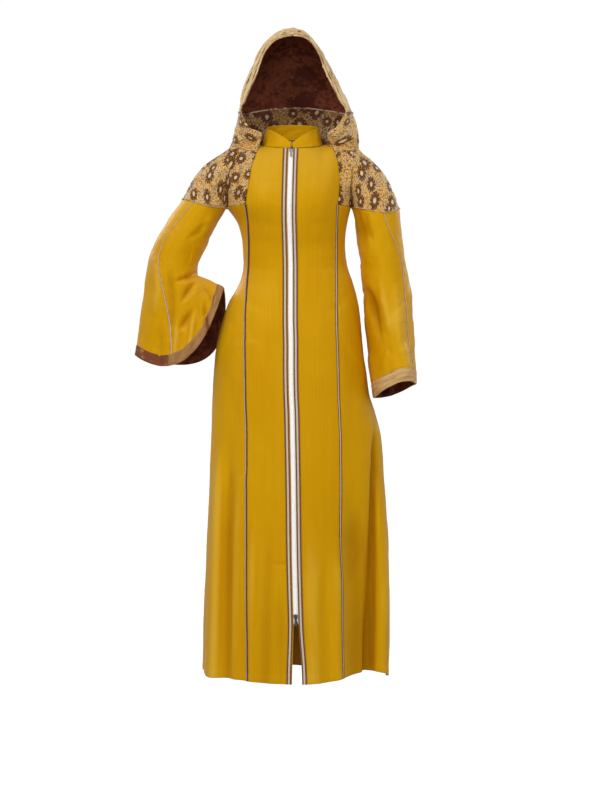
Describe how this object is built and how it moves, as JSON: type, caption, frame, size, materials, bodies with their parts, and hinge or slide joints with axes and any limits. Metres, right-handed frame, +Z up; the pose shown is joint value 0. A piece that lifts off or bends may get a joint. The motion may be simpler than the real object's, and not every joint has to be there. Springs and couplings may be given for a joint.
{
  "type": "hooded kaftan in its worn shape",
  "caption": "Ankle-length hooded kaftan in its worn shape: mustard satin body, brocade yokes and shoulder caps, bell sleeves with velvet cuffs, velvet hood, stand collar and a long exposed zip",
  "frame": {"origin": "middle of the neck at its base, level with the shoulder line, where the wearer's shoulders hold the garment", "axes": "+Z up along the garment's length, +X towards the wearer's left, -Y the front"},
  "size_m": [0.7021, 0.3696, 1.6321],
  "materials": {
    "satin": "mustard satin-backed crepe with a soft sheen",
    "brocade": "cream and mustard figured brocade with brown broken-ring rosettes",
    "velvet": "brown panne velvet with a tan sheen",
    "facing": "dark maroon velvet inside facing",
    "braid": "brown and cream striped braid",
    "piping": "pale twisted cord piping",
    "zip_tape": "white woven zip tape",
    "zip_teeth": "off-white coil",
    "zip_metal": "worn nickel-plated zinc"
  },
  "bodies": {
    "garment": {"front_right": "satin", "front_left": "satin", "side_front_right": "satin", "side_front_left": "satin", "back": "satin", "collar": "satin", "sleeve_front_right": "satin", "sleeve_back_right": "satin", "sleeve_front_left": "satin", "sleeve_back_left": "satin", "yoke_front_right": "brocade", "yoke_front_left": "brocade", "yoke_back": "brocade", "cap_right": "brocade", "cap_left": "brocade", "hood_base": "brocade", "hood_right": "velvet", "hood_left": "velvet", "cuff_right": "velvet", "cuff_left": "velvet", "cuff_facing_right": "facing", "cuff_facing_left": "facing", "braid_right": "braid", "braid_left": "braid", "piping_front_right": "piping", "piping_front_left": "piping", "piping_sleeve_right": "piping", "piping_sleeve_left": "piping", "piping_cap_right": "piping", "piping_cap_left": "piping", "piping_hood": "piping", "zip_tape_right": "zip_tape", "zip_tape_left": "zip_tape", "zip_chain": "zip_teeth", "zip_slider_top": "zip_metal", "zip_slider_bottom": "zip_metal"},
    "pull_top": {"zip_pull_top": "zip_metal"},
    "pull_bottom": {"zip_pull_bottom": "zip_metal"}
  },
  "joints": [
    {"name": "pull_top_hinge", "type": "hinge", "parent": "garment", "child": "pull_top", "pos_m": [-0.00425, -0.06841, -0.00924], "axis": [-1, 0, 0], "range_deg": [0, 150]},
    {"name": "pull_bottom_hinge", "type": "hinge", "parent": "garment", "child": "pull_bottom", "pos_m": [0.00705, -0.16275, -1.14722], "axis": [-1, 0, 0], "range_deg": [0, 150]}
  ]
}
